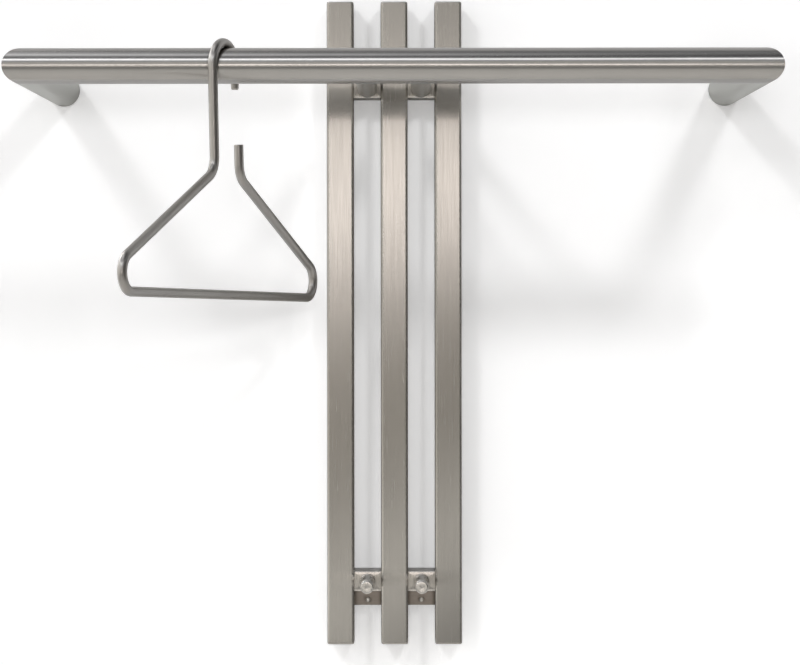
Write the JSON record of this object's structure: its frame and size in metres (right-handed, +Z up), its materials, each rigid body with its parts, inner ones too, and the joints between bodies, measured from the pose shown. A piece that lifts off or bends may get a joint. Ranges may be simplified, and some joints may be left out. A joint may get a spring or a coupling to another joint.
{
  "type": "wall coat rack",
  "caption": "Wall coat rack in satin steel: upright bars, a round rail returned to the wall, grooved pegs and a bent-rod hanger that slides along the rail.",
  "frame": {"origin": "on the wall, at the height of the rail's axis, midway between the rail's ends", "axes": "+X to the viewer's right along the rail, +Y into the wall, +Z up"},
  "size_m": [0.65, 0.4835, 0.596],
  "materials": {
    "bar_steel": "satin, grain along the bar",
    "strip_steel": "satin",
    "tube_steel": "satin, ground round the tube",
    "stud_steel": "satin, turned",
    "peg_steel": "fine turned",
    "rod_steel": "drawn rod, lightly brushed",
    "screw_steel": "plain stainless",
    "insert_aluminium": "turned"
  },
  "bodies": {
    "rack": {"bar_left": "bar_steel", "bar_middle": "bar_steel", "bar_right": "bar_steel", "bar_top_plate_left": "bar_steel", "bar_top_plate_middle": "bar_steel", "bar_top_plate_right": "bar_steel", "bar_bottom_plate_left": "bar_steel", "bar_bottom_plate_middle": "bar_steel", "bar_bottom_plate_right": "bar_steel", "wall_strip_upper": "strip_steel", "wall_strip_lower": "strip_steel", "block_upper_left": "strip_steel", "block_upper_right": "strip_steel", "block_lower_left": "strip_steel", "block_lower_right": "strip_steel", "rail_tube": "tube_steel", "return_tube_left": "tube_steel", "return_tube_right": "tube_steel", "return_insert_left": "insert_aluminium", "return_insert_right": "insert_aluminium", "return_locking_screws": "screw_steel", "support_stud_left": "stud_steel", "support_stud_right": "stud_steel", "stud_bolts": "screw_steel", "peg_left": "peg_steel", "peg_right": "peg_steel", "peg_bolts": "screw_steel", "strip_wall_screws": "screw_steel", "return_wall_screws": "screw_steel"},
    "hanger": {"hanger": "rod_steel"}
  },
  "joints": [
    {"name": "hanger_slide", "type": "slide", "parent": "rack", "child": "hanger", "axis": [1, 0, 0], "range_m": [-0.135, 0.09]}
  ]
}
